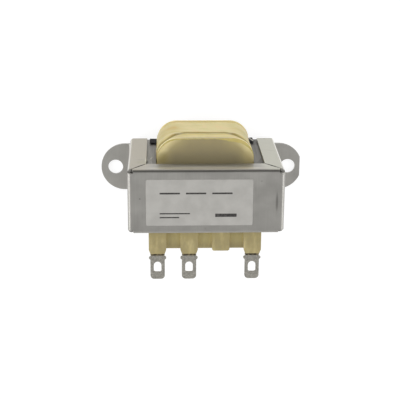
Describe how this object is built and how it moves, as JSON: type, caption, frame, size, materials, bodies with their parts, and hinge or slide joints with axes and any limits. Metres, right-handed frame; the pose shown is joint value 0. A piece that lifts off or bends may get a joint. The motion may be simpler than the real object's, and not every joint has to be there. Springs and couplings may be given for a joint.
{
  "type": "laminated chassis transformer",
  "caption": "Laminated E-I core power transformer in a folded channel bracket with two mounting ears, and a taped two-section bobbin with solder lugs on one side.",
  "frame": {"origin": "midway between the two mounting holes, on the chassis face", "axes": "+Z points away from the chassis to the label, X runs through the mounting holes, and the lugs point to -Y"},
  "size_m": [0.0695, 0.048, 0.0408],
  "materials": {
    "bracket_steel": "zinc plated, satin",
    "core_steel": "rolled silicon steel, dull",
    "bobbin_nylon": "natural nylon, satin",
    "winding_copper": "enamelled copper wire",
    "front_tape": "thin film tape",
    "rear_tape": "thin film tape",
    "lug_tinned_brass": "hot tin dipped",
    "lead_enamel": "dark wire enamel",
    "strip_fibre": "black insulating board",
    "label_stock": "matt film label"
  },
  "bodies": {
    "root": {"channel_bracket": "bracket_steel", "e_sheets_label_side_1": "core_steel", "e_sheets_label_side_2": "core_steel", "e_sheets_label_side_3": "core_steel", "e_sheets_label_side_4": "core_steel", "i_sheets_chassis_side": "core_steel", "e_sheets_chassis_side_1": "core_steel", "e_sheets_chassis_side_2": "core_steel", "e_sheets_chassis_side_3": "core_steel", "e_sheets_chassis_side_4": "core_steel", "i_sheets_label_side": "core_steel", "bobbin": "bobbin_nylon", "front_winding": "winding_copper", "rear_winding": "winding_copper", "front_tape": "front_tape", "rear_tape": "rear_tape", "front_lug_1": "lug_tinned_brass", "front_lug_2": "lug_tinned_brass", "front_lug_4": "lug_tinned_brass", "rear_lug_1": "lug_tinned_brass", "rear_lug_2": "lug_tinned_brass", "front_lead_1": "lead_enamel", "front_lead_2": "lead_enamel", "front_lead_4": "lead_enamel", "rear_lead_1": "lead_enamel", "rear_lead_2": "lead_enamel", "insulating_strip": "strip_fibre", "label": "label_stock"}
  },
  "joints": []
}
